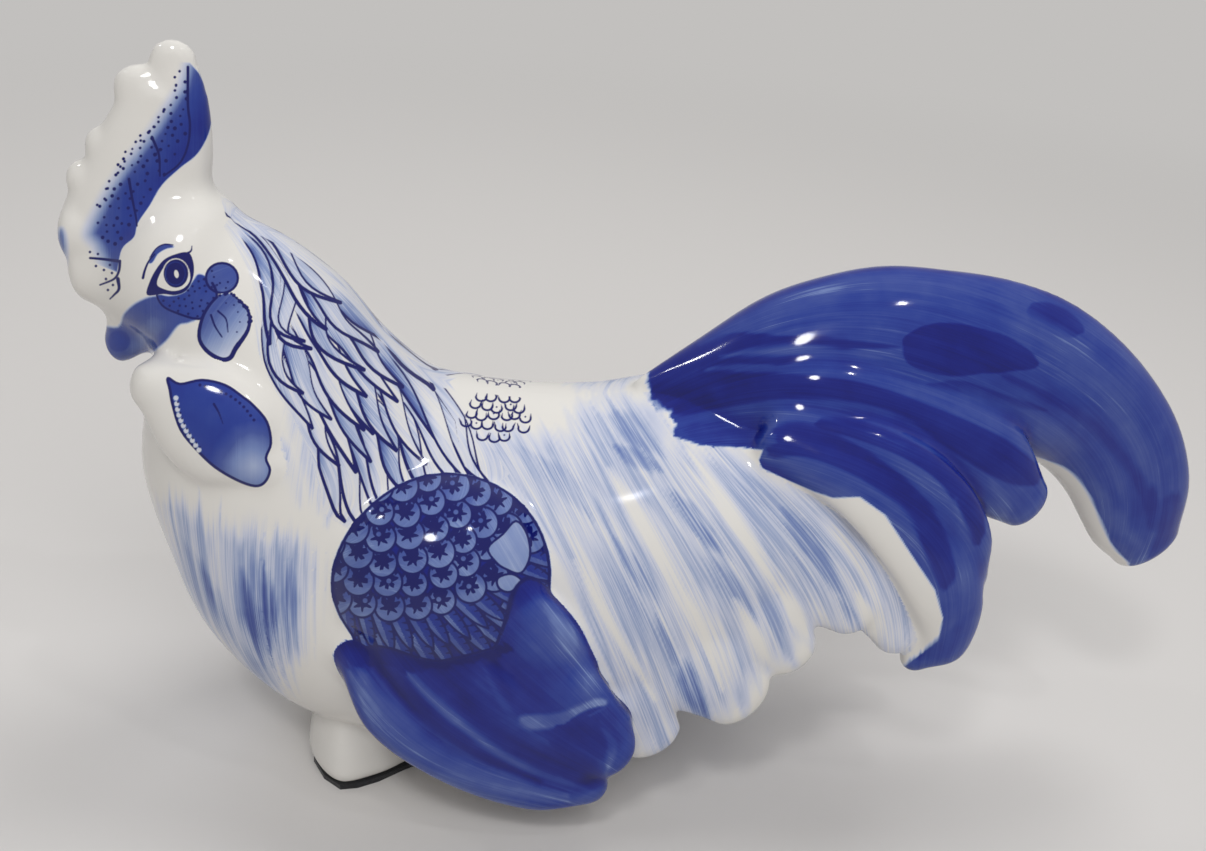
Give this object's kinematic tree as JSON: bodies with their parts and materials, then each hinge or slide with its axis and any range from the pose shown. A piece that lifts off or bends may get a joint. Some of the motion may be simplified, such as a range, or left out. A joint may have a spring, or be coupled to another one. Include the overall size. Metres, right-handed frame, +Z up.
{
  "type": "rooster figurine",
  "caption": "Hollow glazed porcelain rooster with a bowed head, fanned comb, domed wings and an arched tail, standing on a short foot with a felt pad.",
  "frame": {"origin": "middle of the bounding box on the surface the felt stands on", "axes": "+X from the head to the tail, +Y to the bird's right, +Z up; the bird faces -X"},
  "size_m": [0.3598, 0.129, 0.2284],
  "materials": {
    "white_porcelain": "glossy clear glaze over a warm white body, painted in cobalt ink",
    "washed_porcelain": "glossy clear glaze over a pale cobalt wash with darker ink",
    "cobalt_porcelain": "glossy clear glaze over brushed deep cobalt",
    "felt": "dark matt felt"
  },
  "bodies": {
    "root": {"body_shell": "white_porcelain", "head": "white_porcelain", "beak": "cobalt_porcelain", "comb": "white_porcelain", "foot": "white_porcelain", "felt_pad": "felt", "tail_plume": "cobalt_porcelain", "left_wattle": "washed_porcelain", "right_wattle": "washed_porcelain", "left_wing_coverts": "washed_porcelain", "right_wing_coverts": "washed_porcelain", "left_wing_flights": "cobalt_porcelain", "right_wing_flights": "cobalt_porcelain", "left_lower_sickle": "cobalt_porcelain", "right_lower_sickle": "cobalt_porcelain", "left_covert_sickle": "cobalt_porcelain", "right_covert_sickle": "cobalt_porcelain", "left_middle_feather": "cobalt_porcelain", "right_middle_feather": "cobalt_porcelain"}
  },
  "joints": []
}
